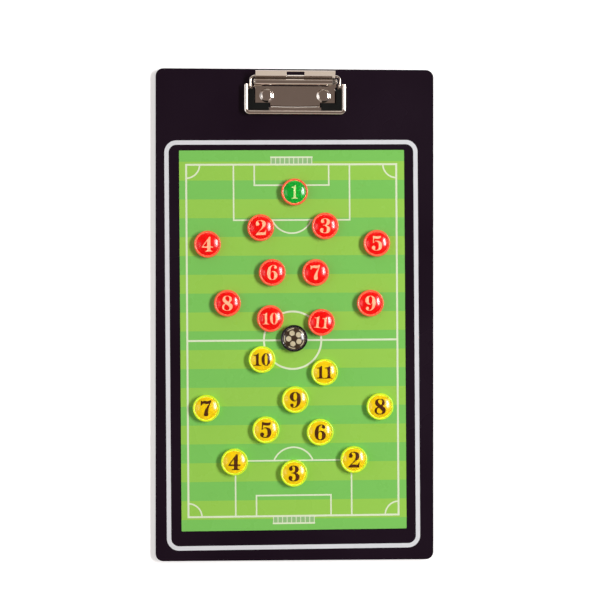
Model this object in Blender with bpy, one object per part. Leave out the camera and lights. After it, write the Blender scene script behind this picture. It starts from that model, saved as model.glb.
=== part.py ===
"""Magnetic tactics board: a laminated panel with a spring clip for paper and 22 magnetic counters.

Metres, +Z up. The board lies on its back with its face up: X runs across it, +Y towards the clip.
The origin is at the middle of the back face.
"""

import math

import bmesh
import bpy
from mathutils import Matrix, Vector

# Board
BOARD_WIDTH = 0.218
BOARD_LENGTH = 0.385
BOARD_CORNER = 0.006
CORE_THICKNESS = 0.0034
FILM_THICKNESS = 0.00025
GLUE_GAP = 0.00005
STEEL_THICKNESS = 0.0003
STEEL_SIDE_MARGIN = 0.004
STEEL_CLIP_MARGIN = 0.042
STEEL_CORNER = 0.004
POCKET_CLEARANCE = 0.0002

# Gaps that pieces of the clip and the counters keep to what they rest on, and to what they slide past
SEAT_GAP = 0.0001
SLIDE_GAP = 0.0003

# Clip: sheet, hinge and closing spring
SHEET = 0.0008
HINGE_SETBACK = 0.0106
ROLL_TO_PLATE_GAP = 0.00115
LUG_RADIUS = 0.0022
PIN_RADIUS = 0.0007
PIN_HEAD_RADIUS = 0.0014
PIN_HEAD_THICKNESS = 0.0006
PIN_TO_WIRE_GAP = 0.0012
SPRING_WIRE_RADIUS = 0.0004
SPRING_TURNS = 9.5
SPRING_TURN_GAP = 0.0003
SPRING_TO_ROLL_GAP = 0.00015
SPRING_LEG_ROOM = 0.0021

# Clip: bow and pads
BOW_WIDTH = 0.080
BOW_REACH = 0.0253
BOW_REAR_REACH = 0.0016
BOW_CORNER = 0.0042
BOW_END_ROUNDING = 0.0022
BEAD_WIDTH = 0.0032
BEAD_RISE = 0.0008
FLANGE_WIDTH = 0.0034
FLANGE_HEIGHT = 0.0016
INNER_CORNER = 0.0003
PAD_FRONT_LENGTH = 0.0161
PAD_FRONT_WALL = 0.0020
PAD_SIDE_WALL = 0.0010
PAD_TOP_WALL = 0.0007
PAD_TO_WIRE_GAP = 0.0004

# Clip: thumb lever and the wire that carries the bow
LEVER_TILT = 45.0
LEVER_LENGTH = 0.0095
ROLL_SEAM_ANGLE = 15.0
SLOT_LENGTH = 0.0140
SLOT_WIDTH = 0.0045
SLOT_CORNER = 0.0008
SLOT_EDGE = 0.0010
BOW_WIRE_RADIUS = 0.0009
BOW_WIRE_POSITION = 0.0028
BOW_WIRE_BEND = 0.0036
BOW_WIRE_END_BEND = 0.0012
BOW_WIRE_END_HEIGHT = 0.0006
WIRE_HOLE_SETBACK = 0.0024
WIRE_HOOK_WIDTH = 0.0040
WIRE_HOOK_INSETS = (0.0053, 0.0193)

# Clip: riveted plate
PLATE_REAR_REACH = 0.0024
PLATE_SHOULDER_REACH = 0.0040
PLATE_TO_PAD_GAP = 0.0004
PLATE_TO_SIDE_GAP = 0.0009
RIVET_INSET = 0.00895
BOSS_RADIUS = 0.0056
BOSS_HEIGHT = 0.0008
BOSS_EDGE = 0.0002
BOSS_SLOPE = 0.0009
BOSS_MARGIN = 0.0001
RIVET_HEAD_RADIUS = 0.0043
RIVET_HEAD_HEIGHT = 0.0012
RIVET_SHANK_RADIUS = 0.0020
RIVET_TAIL_RADIUS = 0.0034
RIVET_TAIL_THICKNESS = 0.0006
HOLE_CLEARANCE = 0.0002
TAIL_RECESS_DEPTH = 0.0013
TAIL_CLEARANCE = 0.0011

# Counters
COUNTER_RADIUS = 0.0105
COUNTER_WALL_HEIGHT = 0.0032
COUNTER_SHOULDER = 0.0006
DOME_RISE = 0.0027
CAP_WALL = 0.00155
MAGNET_THICKNESS = 0.0028
MAGNET_CLEARANCE = 0.00025

# Steps that round shapes are made in
CORNER_STEPS = 6
ROLL_STEPS = 24
RIVET_STEPS = 24
PIN_STEPS = 16
COIL_STEPS = 8
COUNTER_STEPS = 24

# Where each counter lies, from the middle of the board
RED_PLACES = {
    2: (-0.0270, 0.0680), 3: (0.0235, 0.0695), 4: (-0.0685, 0.0550), 5: (0.0640, 0.0560),
    6: (-0.0180, 0.0330), 7: (0.0160, 0.0330), 8: (-0.0530, 0.0090), 9: (0.0590, 0.0090),
    10: (-0.0195, -0.0030), 11: (0.0205, -0.0060),
}
YELLOW_PLACES = {
    2: (0.0460, -0.1135), 3: (-0.0010, -0.1240), 4: (-0.0475, -0.1150), 5: (-0.0230, -0.0900),
    6: (0.0195, -0.0920), 7: (-0.0695, -0.0730), 8: (0.0665, -0.0720), 9: (0.0000, -0.0665),
    10: (-0.0260, -0.0350), 11: (0.0230, -0.0450),
}
GREEN_PLACES = {1: (-0.0005, 0.0960)}
BALL_PLACES = {0: (-0.0008, -0.0185)}

# Heights in the board and the clip, and the hinge
CORE_LOW = FILM_THICKNESS + GLUE_GAP
CORE_HIGH = CORE_LOW + CORE_THICKNESS
FACE = CORE_HIGH + GLUE_GAP + FILM_THICKNESS
POCKET_FLOOR = CORE_HIGH - STEEL_THICKNESS - GLUE_GAP
PLATE_LOW = FACE + SEAT_GAP
PLATE_HIGH = PLATE_LOW + SHEET
SPRING_COIL_RADIUS = PIN_RADIUS + SEAT_GAP + SPRING_WIRE_RADIUS
ROLL_RADIUS = SPRING_COIL_RADIUS + SPRING_WIRE_RADIUS + SPRING_TO_ROLL_GAP + SHEET
HINGE = Vector((0, BOARD_LENGTH / 2 - HINGE_SETBACK, PLATE_HIGH + ROLL_TO_PLATE_GAP + ROLL_RADIUS))
LEVER_SLOPE = math.radians(LEVER_TILT)

# Insets from the bow's outer edge, and the places that follow from them
PAD_INSET = BEAD_WIDTH + SLIDE_GAP
FLANGE_EDGE = BEAD_WIDTH + FLANGE_WIDTH
WIRE_INSET = BEAD_WIDTH + FLANGE_WIDTH / 2
PAD_SIDE_EDGE = FLANGE_EDGE + SLIDE_GAP + PAD_SIDE_WALL
PAD_FRONT_EDGE = FLANGE_EDGE + SLIDE_GAP + PAD_FRONT_WALL
BOW_FRONT = HINGE.y - BOW_REACH
BOW_REAR = HINGE.y - BOW_REAR_REACH
FLANGE_LOW = FACE + FLANGE_HEIGHT
FLANGE_HIGH = FLANGE_LOW + SHEET
CROWN_HEIGHT = FLANGE_HIGH + BEAD_RISE
WIRE_SIDE = BOW_WIDTH / 2 - WIRE_INSET
WIRE_HOLE_Y = BOW_REAR - WIRE_HOLE_SETBACK
WIRE_HOLE_RADIUS = BOW_WIRE_RADIUS + HOLE_CLEARANCE
LUG_OUTSIDE = WIRE_SIDE - BOW_WIRE_RADIUS - PIN_TO_WIRE_GAP - PIN_HEAD_THICKNESS - SEAT_GAP
LUG_INSIDE = LUG_OUTSIDE - SHEET
LEVER_END = LUG_INSIDE - SLIDE_GAP
PLATE_SIDE = BOW_WIDTH / 2 - PAD_SIDE_EDGE - PLATE_TO_SIDE_GAP
PLATE_FRONT = BOW_FRONT + PAD_FRONT_EDGE + PLATE_TO_PAD_GAP
TONGUE_SIDE = BOW_WIDTH / 2 - PAD_INSET - PAD_FRONT_LENGTH - PLATE_TO_SIDE_GAP
TONGUE_FRONT = BOW_FRONT + FLANGE_EDGE + PLATE_TO_PAD_GAP
RIVET_X = PLATE_SIDE - RIVET_INSET
RIVET_Y = PLATE_FRONT + BOSS_MARGIN + BOSS_RADIUS
RIVET_SEAT = PLATE_HIGH + BOSS_HEIGHT + SEAT_GAP
SHANK_HOLE = RIVET_SHANK_RADIUS + HOLE_CLEARANCE


def material(name, colour, roughness, metallic=0.0):
    made = bpy.data.materials.new(name)
    made.use_nodes = True
    shader = made.node_tree.nodes["Principled BSDF"]
    shader.inputs["Base Color"].default_value = (*colour, 1)
    shader.inputs["Roughness"].default_value = roughness
    shader.inputs["Metallic"].default_value = metallic
    return made


def mesh_from(name, bm, surface, smooth_angle=35):
    bmesh.ops.recalc_face_normals(bm, faces=bm.faces)
    mesh = bpy.data.meshes.new(name)
    bm.to_mesh(mesh)
    bm.free()
    mesh.materials.append(surface)
    mesh.shade_smooth()
    mesh.set_sharp_from_angle(angle=math.radians(smooth_angle))
    return mesh


def placed(name, data, origin=(0, 0, 0)):
    made = bpy.data.objects.new(name, data)
    made.location = origin
    bpy.context.scene.collection.objects.link(made)
    return made


def piece(name, bm, surface, origin=(0, 0, 0)):
    """A piece drawn in board coordinates, with its own origin on the axis it turns about."""
    bmesh.ops.translate(bm, verts=bm.verts, vec=-Vector(origin))
    return placed(name, mesh_from(name, bm, surface), origin)


def tool(name, bm, surface):
    """A solid that only shapes another piece."""
    made = piece(name, bm, surface)
    made.hide_render = True
    made.display_type = "WIRE"
    return made


def shape_with(target, operation, tools):
    """Adds or cuts all the tools in one step, while the faces that they meet are still flat."""
    group = bpy.data.collections.new(f"{target.name}_{operation.lower()}")
    for each in tools:
        group.objects.link(each)
    boolean = target.modifiers.new(group.name, "BOOLEAN")
    boolean.operation = operation
    boolean.operand_type = "COLLECTION"
    boolean.collection = group


def arc(centre, radius, start, end, steps):
    """Points on an arc between two angles in degrees."""
    angles = [math.radians(start + (end - start) * i / steps) for i in range(steps + 1)]
    return [(centre[0] + radius * math.cos(a), centre[1] + radius * math.sin(a)) for a in angles]


def rounded_outline(low_x, high_x, low_y, high_y, radius):
    corners = ((high_x - radius, high_y - radius, 0), (low_x + radius, high_y - radius, 90),
               (low_x + radius, low_y + radius, 180), (high_x - radius, low_y + radius, 270))
    points = []
    for x, y, turn in corners:
        points += arc((x, y), radius, turn, turn + 90, CORNER_STEPS)
    return points


def mirrored(outline):
    return [(-x, y) for x, y in reversed(outline)]


def drawn_out(corners, travel):
    """A solid with one flat outline, extruded by the travel."""
    bm = bmesh.new()
    face = bm.faces.new([bm.verts.new(corner) for corner in corners])
    grown = bmesh.ops.extrude_face_region(bm, geom=[face])
    moved = [each for each in grown["geom"] if isinstance(each, bmesh.types.BMVert)]
    bmesh.ops.translate(bm, verts=moved, vec=travel)
    return bm


def slab(outline, low, high):
    """A flat plate: its outline in X and Y, thickened along Z."""
    return drawn_out([(x, y, low) for x, y in outline], (0, 0, high - low))


def section(outline, low, high):
    """A pressed section: its outline in Y and Z, drawn out along X."""
    return drawn_out([(low, y, z) for y, z in outline], (high - low, 0, 0))


def turned(profile, steps, centre=(0, 0, 0), axis="Z"):
    """A round solid about Z or X, from pairs of radius and height that start and end on the axis."""
    bm = bmesh.new()
    verts = [bm.verts.new((radius, 0, height)) for radius, height in profile]
    edges = [bm.edges.new(pair) for pair in zip(verts, verts[1:])]
    bmesh.ops.spin(bm, geom=verts + edges, cent=(0, 0, 0), axis=(0, 0, 1),
                   angle=math.tau, steps=steps, use_merge=True)
    bmesh.ops.remove_doubles(bm, verts=bm.verts, dist=1e-7)
    if axis == "X":
        bmesh.ops.rotate(bm, verts=bm.verts, cent=(0, 0, 0), matrix=Matrix.Rotation(math.pi / 2, 3, "Y"))
    bmesh.ops.translate(bm, verts=bm.verts, vec=centre)
    return bm


def rod(radius, low, high):
    return [(0, low), (radius, low), (radius, high), (0, high)]


def wire(name, points, radius, surface, origin):
    """A round wire through the points, with closed ends."""
    curve = bpy.data.curves.new(name, "CURVE")
    curve.dimensions = "3D"
    curve.bevel_depth = radius
    curve.bevel_resolution = 1
    curve.use_fill_caps = True
    spline = curve.splines.new("POLY")
    spline.points.add(len(points) - 1)
    for knot, point in zip(spline.points, points):
        knot.co = (*(Vector(point) - Vector(origin)), 1)
    curve.materials.append(surface)
    return placed(name, curve, origin)


def at_each_rivet(name, radius, low, high, surface):
    """An upright round tool on each rivet's axis."""
    made = []
    for number, x in enumerate((-RIVET_X, RIVET_X), 1):
        bm = turned(rod(radius, low, high), RIVET_STEPS, (x, RIVET_Y, 0))
        made.append(tool(f"{name}_{number}", bm, surface))
    return made


def board_outline():
    half_width = BOARD_WIDTH / 2
    half_length = BOARD_LENGTH / 2
    return rounded_outline(-half_width, half_width, -half_length, half_length, BOARD_CORNER)


def steel_outline(margin_change):
    half_width = BOARD_WIDTH / 2 - STEEL_SIDE_MARGIN + margin_change
    low = -BOARD_LENGTH / 2 + STEEL_SIDE_MARGIN - margin_change
    high = BOARD_LENGTH / 2 - STEEL_CLIP_MARGIN + margin_change
    return rounded_outline(-half_width, half_width, low, high, STEEL_CORNER + margin_change)


def build_panel(black, film, steel):
    """A rigid core between two films, with the steel sheet sunk in its front."""
    recess = RIVET_TAIL_RADIUS + TAIL_CLEARANCE
    holes = at_each_rivet("rivet_hole", SHANK_HOLE, -FACE, 2 * FACE, black)
    recesses = at_each_rivet("tail_recess", recess, -FACE, TAIL_RECESS_DEPTH, black)
    pocket = tool("steel_pocket", slab(steel_outline(POCKET_CLEARANCE), POCKET_FLOOR, FACE), black)

    back_film = piece("back_film", slab(board_outline(), 0, FILM_THICKNESS), black)
    shape_with(back_film, "DIFFERENCE", recesses)
    core = piece("core_panel", slab(board_outline(), CORE_LOW, CORE_HIGH), black)
    shape_with(core, "DIFFERENCE", [pocket] + holes + recesses)
    piece("steel_sheet", slab(steel_outline(0), POCKET_FLOOR + GLUE_GAP, CORE_HIGH), steel)
    printed_film = piece("printed_film", slab(board_outline(), CORE_HIGH + GLUE_GAP, FACE), film)
    shape_with(printed_film, "DIFFERENCE", holes)


def base_plate_outline():
    """Wide at the lugs, narrower between the pads' sides, with a tongue between their feet."""
    shoulder = HINGE.y - PLATE_SHOULDER_REACH
    inside_lug = LUG_OUTSIDE - SHEET / 2
    right = [(TONGUE_SIDE, TONGUE_FRONT), (TONGUE_SIDE, PLATE_FRONT), (PLATE_SIDE, PLATE_FRONT),
             (PLATE_SIDE, shoulder - SHEET), (inside_lug, shoulder),
             (inside_lug, HINGE.y + PLATE_REAR_REACH)]
    return right + mirrored(right)


def lug_outline():
    """Round about the pin, and straight down into the plate."""
    inside_plate = PLATE_LOW + SHEET / 2
    feet = [(HINGE.y - LUG_RADIUS, inside_plate), (HINGE.y + LUG_RADIUS, inside_plate)]
    return arc((HINGE.y, HINGE.z), LUG_RADIUS, 0, 180, ROLL_STEPS // 2) + feet


def build_base_plate(nickel):
    """The plate that is riveted to the board, with a raised boss round each rivet and two lugs."""
    inside_plate = PLATE_LOW + SHEET / 2
    boss_top = PLATE_HIGH + BOSS_HEIGHT
    boss = [(0, inside_plate), (BOSS_RADIUS, inside_plate), (BOSS_RADIUS, PLATE_HIGH + BOSS_EDGE),
            (BOSS_RADIUS - BOSS_SLOPE, boss_top), (0, boss_top)]
    additions = [tool("left_lug", section(lug_outline(), -LUG_OUTSIDE, -LUG_INSIDE), nickel),
                 tool("right_lug", section(lug_outline(), LUG_INSIDE, LUG_OUTSIDE), nickel)]
    for number, x in enumerate((-RIVET_X, RIVET_X), 1):
        additions.append(tool(f"boss_{number}", turned(boss, RIVET_STEPS, (x, RIVET_Y, 0)), nickel))
    pin_hole = turned(rod(PIN_RADIUS + SEAT_GAP, -2 * LUG_OUTSIDE, 2 * LUG_OUTSIDE), PIN_STEPS, HINGE, "X")
    cuts = at_each_rivet("plate_hole", SHANK_HOLE, CORE_LOW, 2 * RIVET_SEAT, nickel)
    cuts.append(tool("pin_hole", pin_hole, nickel))
    plate = piece("base_plate", slab(base_plate_outline(), PLATE_LOW, PLATE_HIGH), nickel)
    shape_with(plate, "UNION", additions)
    shape_with(plate, "DIFFERENCE", cuts)


def build_rivets(nickel):
    """Round-headed rivets, with their tails spread flat inside the recesses of the back."""
    tail_high = TAIL_RECESS_DEPTH - SEAT_GAP
    tail_low = tail_high - RIVET_TAIL_THICKNESS
    dome = []
    for angle in (75, 50, 25):
        turn = math.radians(angle)
        dome.append((RIVET_HEAD_RADIUS * math.sin(turn), RIVET_SEAT + RIVET_HEAD_HEIGHT * math.cos(turn)))
    profile = [(0, tail_low), (RIVET_TAIL_RADIUS, tail_low), (RIVET_TAIL_RADIUS, tail_high),
               (RIVET_SHANK_RADIUS, tail_high), (RIVET_SHANK_RADIUS, RIVET_SEAT),
               (RIVET_HEAD_RADIUS, RIVET_SEAT), *dome, (0, RIVET_SEAT + RIVET_HEAD_HEIGHT)]
    for name, x in (("left_rivet", -RIVET_X), ("right_rivet", RIVET_X)):
        piece(name, turned(profile, RIVET_STEPS, (x, RIVET_Y, 0)), nickel)


def build_hinge_pin(steel):
    """The pin through the lugs and the roll, riveted over at both ends."""
    shoulder = LUG_OUTSIDE + SEAT_GAP
    end = shoulder + PIN_HEAD_THICKNESS
    profile = [(0, -end), (PIN_HEAD_RADIUS, -end), (PIN_HEAD_RADIUS, -shoulder), (PIN_RADIUS, -shoulder),
               (PIN_RADIUS, shoulder), (PIN_HEAD_RADIUS, shoulder), (PIN_HEAD_RADIUS, end), (0, end)]
    piece("hinge_pin", turned(profile, PIN_STEPS, HINGE, "X"), steel)


def build_torsion_spring(steel):
    """The closing spring: its coil lies in the roll, and its free leg stands on the base plate."""
    leg_x = LUG_INSIDE - SPRING_LEG_ROOM / 2
    pitch = 2 * SPRING_WIRE_RADIUS + SPRING_TURN_GAP
    points = []
    for i in range(round(SPRING_TURNS * COIL_STEPS), -1, -1):
        turns_left = i / COIL_STEPS
        angle = math.pi - math.tau * turns_left
        points.append((leg_x - pitch * turns_left,
                       HINGE.y + SPRING_COIL_RADIUS * math.cos(angle),
                       HINGE.z + SPRING_COIL_RADIUS * math.sin(angle)))
    points.append((leg_x, HINGE.y - SPRING_COIL_RADIUS, PLATE_HIGH + SEAT_GAP))
    wire("torsion_spring", points, SPRING_WIRE_RADIUS, steel, HINGE)


def lever_point(along, below):
    """Y and Z on the thumb plate: along its slope from the roll, and below its middle plane."""
    away = ROLL_RADIUS - SHEET / 2 + below
    y = HINGE.y + away * math.sin(LEVER_SLOPE) + along * math.cos(LEVER_SLOPE)
    z = HINGE.z - away * math.cos(LEVER_SLOPE) + along * math.sin(LEVER_SLOPE)
    return (y, z)


def lever_outline():
    """One strip of sheet: rolled round the pin from its seam, then straight up the thumb plate."""
    centre = (HINGE.y, HINGE.z)
    leaves_roll = 270 + LEVER_TILT
    outer = arc(centre, ROLL_RADIUS, ROLL_SEAM_ANGLE, leaves_roll, ROLL_STEPS)
    inner = arc(centre, ROLL_RADIUS - SHEET, ROLL_SEAM_ANGLE, leaves_roll, ROLL_STEPS)
    end = [lever_point(LEVER_LENGTH, SHEET / 2), lever_point(LEVER_LENGTH, -SHEET / 2)]
    return outer + end + inner[::-1]


def hook_outline():
    """A tab pressed out of the thumb plate, which goes behind and under the wire."""
    wire_bottom = SHEET / 2 + 2 * SEAT_GAP + 2 * BOW_WIRE_RADIUS
    back = BOW_WIRE_POSITION + BOW_WIRE_RADIUS + SEAT_GAP
    lip = BOW_WIRE_POSITION - BOW_WIRE_RADIUS
    corners = ((back, 0), (back, wire_bottom), (lip, wire_bottom), (lip, wire_bottom + SHEET),
               (back + SHEET, wire_bottom + SHEET), (back + SHEET, 0))
    return [lever_point(along, below) for along, below in corners]


def slot_tool(surface):
    """A long slot through the thumb plate, square to it."""
    outline = rounded_outline(-SLOT_LENGTH / 2, SLOT_LENGTH / 2, -SLOT_WIDTH / 2, SLOT_WIDTH / 2, SLOT_CORNER)
    bm = slab(outline, -SHEET, SHEET)
    bmesh.ops.rotate(bm, verts=bm.verts, cent=(0, 0, 0), matrix=Matrix.Rotation(LEVER_SLOPE, 3, "X"))
    middle = lever_point(LEVER_LENGTH - SLOT_EDGE - SLOT_WIDTH / 2, 0)
    bmesh.ops.translate(bm, verts=bm.verts, vec=(0, *middle))
    return tool("hanging_slot", bm, surface)


def roll_end_tool(surface):
    """Cuts the roll's right end back, where the spring's free leg comes down."""
    reach = ROLL_RADIUS + SLIDE_GAP
    low_y, low_z = HINGE.y - reach, HINGE.z - reach
    high_y, high_z = HINGE.y + reach, HINGE.z + reach
    outline = [(low_y, low_z), (high_y, low_z), (high_y, high_z), (low_y, high_z)]
    return tool("roll_end_cut", section(outline, LEVER_END - SPRING_LEG_ROOM, LUG_INSIDE), surface)


def build_thumb_lever(nickel):
    """The lever that opens the clip: roll, sloping thumb plate, hanging slot and hooks for the wire."""
    hooks = []
    for inset in WIRE_HOOK_INSETS:
        for x in (inset - LEVER_END, LEVER_END - inset):
            bm = section(hook_outline(), x - WIRE_HOOK_WIDTH / 2, x + WIRE_HOOK_WIDTH / 2)
            hooks.append(tool(f"wire_hook_{len(hooks) + 1}", bm, nickel))
    lever = piece("thumb_lever", section(lever_outline(), -LEVER_END, LEVER_END), nickel, HINGE)
    shape_with(lever, "UNION", hooks)
    shape_with(lever, "DIFFERENCE", [slot_tool(nickel), roll_end_tool(nickel)])


def build_bow_wire(nickel):
    """One wire: under the thumb plate, round both its ends, and down through the bow's flange."""
    back_y, back_z = lever_point(BOW_WIRE_POSITION, SHEET / 2 + SEAT_GAP + BOW_WIRE_RADIUS)
    over_flange = FLANGE_HIGH + SEAT_GAP + BOW_WIRE_RADIUS
    end_bend = (WIRE_HOLE_Y + BOW_WIRE_END_BEND, over_flange - BOW_WIRE_END_BEND)
    down = arc(end_bend, BOW_WIRE_END_BEND, 180, 90, CORNER_STEPS // 2)
    side_bend = (WIRE_SIDE - BOW_WIRE_BEND, back_y - BOW_WIRE_BEND)
    right = [(WIRE_SIDE, WIRE_HOLE_Y, FACE + BOW_WIRE_END_HEIGHT)]
    right += [(WIRE_SIDE, y, z) for y, z in down]
    right += [(x, y, back_z) for x, y in arc(side_bend, BOW_WIRE_BEND, 0, 90, CORNER_STEPS)]
    left = [(-x, y, z) for x, y, z in reversed(right)]
    wire("bow_wire", right + left, BOW_WIRE_RADIUS, nickel, HINGE)


def bow_path(inset):
    """The bow's plan at one inset from its outer edge: left side, front and right side."""
    half = BOW_WIDTH / 2 - inset
    front = BOW_FRONT + inset
    radius = max(BOW_CORNER - inset, INNER_CORNER)
    short = BOW_END_ROUNDING - math.sqrt(BOW_END_ROUNDING ** 2 - max(BOW_END_ROUNDING - inset, 0) ** 2)
    left = arc((radius - half, front + radius), radius, 180, 270, CORNER_STEPS)
    right = arc((half - radius, front + radius), radius, 270, 360, CORNER_STEPS)
    return [(-half, BOW_REAR - short)] + left + right + [(half, BOW_REAR - short)]


def bow_profile():
    """The pressed strip across the bow, as inset and height: outer wall, round bead, wall, flange."""
    crown = (BEAD_WIDTH / 2, CROWN_HEIGHT)
    foot = FACE + SLIDE_GAP
    outside = [(0, foot)] + arc(crown, BEAD_WIDTH / 2, 180, 0, CORNER_STEPS)
    flange = [(BEAD_WIDTH, FLANGE_HIGH), (FLANGE_EDGE, FLANGE_HIGH), (FLANGE_EDGE, FLANGE_LOW),
              (BEAD_WIDTH - SHEET, FLANGE_LOW)]
    inside = arc(crown, BEAD_WIDTH / 2 - SHEET, 0, 180, CORNER_STEPS) + [(SHEET, foot)]
    return outside + flange + inside


def build_bow(nickel):
    """The clamp bow: one pressed strip bent round two corners, with a hole for each end of the wire."""
    bm = bmesh.new()
    strips = []
    for inset, height in bow_profile():
        strips.append([bm.verts.new((x, y, height)) for x, y in bow_path(inset)])
    for strip, following in zip(strips, strips[1:] + strips[:1]):
        for i in range(len(strip) - 1):
            bm.faces.new((strip[i], strip[i + 1], following[i + 1], following[i]))
    for end in (0, -1):
        rim = [strip[end] for strip in strips]
        for i in range(len(rim) // 2 - 1):
            bm.faces.new((rim[i], rim[i + 1], rim[-2 - i], rim[-1 - i]))
    bow = piece("bow", bm, nickel, HINGE)
    holes = []
    for number, x in enumerate((-WIRE_SIDE, WIRE_SIDE), 1):
        profile = rod(WIRE_HOLE_RADIUS, FACE, FLANGE_HIGH + SHEET)
        holes.append(tool(f"wire_hole_{number}", turned(profile, PIN_STEPS, (x, WIRE_HOLE_Y, 0)), nickel))
    shape_with(bow, "DIFFERENCE", holes)


def pad_outline():
    """The right pad's L, with its round outer corner in the bow's corner."""
    outer = BOW_WIDTH / 2 - PAD_INSET
    front = BOW_FRONT + PAD_INSET
    foot_end = outer - PAD_FRONT_LENGTH
    side_end = WIRE_HOLE_Y - BOW_WIRE_RADIUS - PAD_TO_WIRE_GAP
    side_edge = BOW_WIDTH / 2 - PAD_SIDE_EDGE
    front_edge = BOW_FRONT + PAD_FRONT_EDGE
    radius = max(BOW_CORNER - PAD_INSET, INNER_CORNER)
    corner = arc((outer - radius, front + radius), radius, 270, 360, CORNER_STEPS)
    return [(foot_end, front)] + corner + [
        (outer, side_end), (side_edge, side_end), (side_edge, front_edge), (foot_end, front_edge)]


def flange_slot_outline():
    """The room for the flange in the right pad, open on its outer sides and at both its ends."""
    outer = BOW_WIDTH / 2
    inner = outer - FLANGE_EDGE - SLIDE_GAP
    inner_front = BOW_FRONT + FLANGE_EDGE + SLIDE_GAP
    foot_end = outer - PAD_INSET - 2 * PAD_FRONT_LENGTH
    return [(foot_end, BOW_FRONT), (outer, BOW_FRONT), (outer, BOW_REAR), (inner, BOW_REAR),
            (inner, inner_front), (foot_end, inner_front)]


def build_pads(rubber):
    """Rubber corner pads, pushed over the flange, which press on the paper."""
    pad_high = FLANGE_HIGH + SLIDE_GAP + PAD_TOP_WALL
    for name, shaped in (("left_pad", mirrored), ("right_pad", list)):
        pad = piece(name, slab(shaped(pad_outline()), FACE + SEAT_GAP, pad_high), rubber, HINGE)
        slot = slab(shaped(flange_slot_outline()), FLANGE_LOW - SLIDE_GAP, FLANGE_HIGH + SLIDE_GAP)
        shape_with(pad, "DIFFERENCE", [tool(f"{name}_slot", slot, rubber)])


def cap_profile():
    """Wall, shoulder and dome, over the magnet's pocket. Heights are counted from the cap's foot."""
    pocket = COUNTER_RADIUS - CAP_WALL
    ceiling = MAGNET_THICKNESS + MAGNET_CLEARANCE
    dome_radius = COUNTER_RADIUS - COUNTER_SHOULDER
    dome_foot = COUNTER_WALL_HEIGHT + COUNTER_SHOULDER
    profile = [(0, ceiling), (pocket, ceiling), (pocket, 0), (COUNTER_RADIUS, 0),
               (COUNTER_RADIUS, COUNTER_WALL_HEIGHT)]
    for share in (1, 0.8, 0.45, 0):
        profile.append((share * dome_radius, dome_foot + DOME_RISE * (1 - share ** 2)))
    return profile


def build_counters(team, places, colour, magnet_mesh):
    """Moulded caps, each with a ferrite disc pressed into its pocket."""
    cap_mesh = mesh_from(f"{team}_cap", turned(cap_profile(), COUNTER_STEPS), colour)
    for number, (x, y) in places.items():
        name = f"{team}_{number}" if number else team
        seat = (x, y, FACE + SEAT_GAP)
        placed(f"{name}_cap", cap_mesh, seat)
        placed(f"{name}_magnet", magnet_mesh, seat)


def build_magnet_mesh(ferrite):
    radius = COUNTER_RADIUS - CAP_WALL - MAGNET_CLEARANCE
    return mesh_from("magnet", turned(rod(radius, 0, MAGNET_THICKNESS), COUNTER_STEPS), ferrite)


def main():
    for each in list(bpy.data.objects):
        bpy.data.objects.remove(each)

    black = material("black_panel", (0.010, 0.007, 0.012), 0.55)
    film = material("printed_film", (0.013, 0.006, 0.016), 0.45)
    steel = material("steel", (0.45, 0.44, 0.42), 0.35, 1.0)
    nickel = material("nickel_plate", (0.72, 0.66, 0.58), 0.18, 1.0)
    rubber = material("black_rubber", (0.008, 0.009, 0.009), 0.6)
    ferrite = material("ferrite", (0.035, 0.033, 0.032), 0.75)

    build_panel(black, film, steel)
    build_base_plate(nickel)
    build_rivets(nickel)
    build_hinge_pin(steel)
    build_torsion_spring(steel)
    build_thumb_lever(nickel)
    build_bow_wire(nickel)
    build_bow(nickel)
    build_pads(rubber)

    magnet_mesh = build_magnet_mesh(ferrite)
    build_counters("red", RED_PLACES, material("red_plastic", (0.80, 0.02, 0.01), 0.25), magnet_mesh)
    build_counters("yellow", YELLOW_PLACES, material("yellow_plastic", (0.80, 0.55, 0.02), 0.25), magnet_mesh)
    build_counters("green", GREEN_PLACES, material("green_plastic", (0.01, 0.28, 0.03), 0.25), magnet_mesh)
    build_counters("ball", BALL_PLACES, material("ball_plastic", (0.02, 0.02, 0.02), 0.25), magnet_mesh)


main()
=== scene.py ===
from math import ceil, cos, pi, radians, sin, sqrt

import bpy
from mathutils import Matrix, Vector


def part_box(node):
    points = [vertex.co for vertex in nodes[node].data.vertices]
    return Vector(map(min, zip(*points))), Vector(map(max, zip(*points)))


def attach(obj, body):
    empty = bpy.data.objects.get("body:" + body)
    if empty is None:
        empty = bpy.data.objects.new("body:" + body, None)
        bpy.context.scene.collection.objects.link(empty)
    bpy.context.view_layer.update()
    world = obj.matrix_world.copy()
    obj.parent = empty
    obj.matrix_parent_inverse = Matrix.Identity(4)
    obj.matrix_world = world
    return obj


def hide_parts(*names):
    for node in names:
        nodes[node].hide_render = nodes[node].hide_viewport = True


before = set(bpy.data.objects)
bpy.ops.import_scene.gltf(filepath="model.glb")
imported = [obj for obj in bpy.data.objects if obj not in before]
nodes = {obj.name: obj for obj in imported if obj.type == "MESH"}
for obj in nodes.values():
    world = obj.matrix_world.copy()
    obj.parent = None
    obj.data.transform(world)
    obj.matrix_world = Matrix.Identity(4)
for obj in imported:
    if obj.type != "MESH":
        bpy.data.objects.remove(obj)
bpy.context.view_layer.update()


# The panel: a rigid black plastic core between two dark films, with a thin steel sheet sunk in its
# front, all glued and cut to one outline. The front film is a satin laminate of a very dark aubergine.

def add_node(tree, kind, values, **settings):
    """A shader node. A value is a number, a colour, or an output of another node to link."""
    node = tree.nodes.new(kind)
    for setting, value in settings.items():
        setattr(node, setting, value)
    for socket, value in values.items():
        if isinstance(value, bpy.types.NodeSocket):
            tree.links.new(value, node.inputs[socket])
        else:
            node.inputs[socket].default_value = value
    return node


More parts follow.
